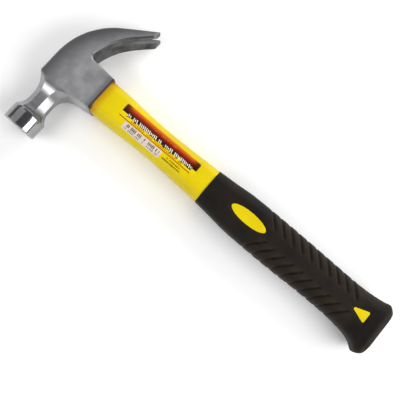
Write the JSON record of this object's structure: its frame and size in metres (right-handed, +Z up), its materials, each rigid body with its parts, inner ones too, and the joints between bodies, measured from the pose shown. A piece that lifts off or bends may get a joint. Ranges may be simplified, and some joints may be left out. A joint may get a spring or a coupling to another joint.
{
  "type": "claw hammer",
  "caption": "Curved-claw hammer: forged steel head with octagonal neck and round bell, yellow jacketed fibreglass handle, black rubber grip with chevron grooves.",
  "frame": {"origin": "middle of the bounding box, on the surface the hammer lies on when laid on its side", "axes": "+X from the crown of the head to the butt of the handle, +Y towards the claws, -Y towards the striking face, +Z up across the hammer's thickness"},
  "size_m": [0.33, 0.13, 0.0304],
  "materials": {
    "forged_steel": "satin forged cheeks, polished neck and bell",
    "glass_fibre": "pultruded glass-fibre rod",
    "resin": "cast epoxy",
    "yellow_plastic": "moulded, semi-gloss",
    "black_rubber": "moulded, fine texture",
    "label_film": "printed film",
    "sticker_paper": "printed paper"
  },
  "bodies": {
    "root": {"head": "forged_steel", "fiberglass_core": "glass_fibre", "eye_resin": "resin", "handle_jacket": "yellow_plastic", "grip": "black_rubber", "label": "label_film", "barcode_sticker": "sticker_paper"}
  },
  "joints": []
}
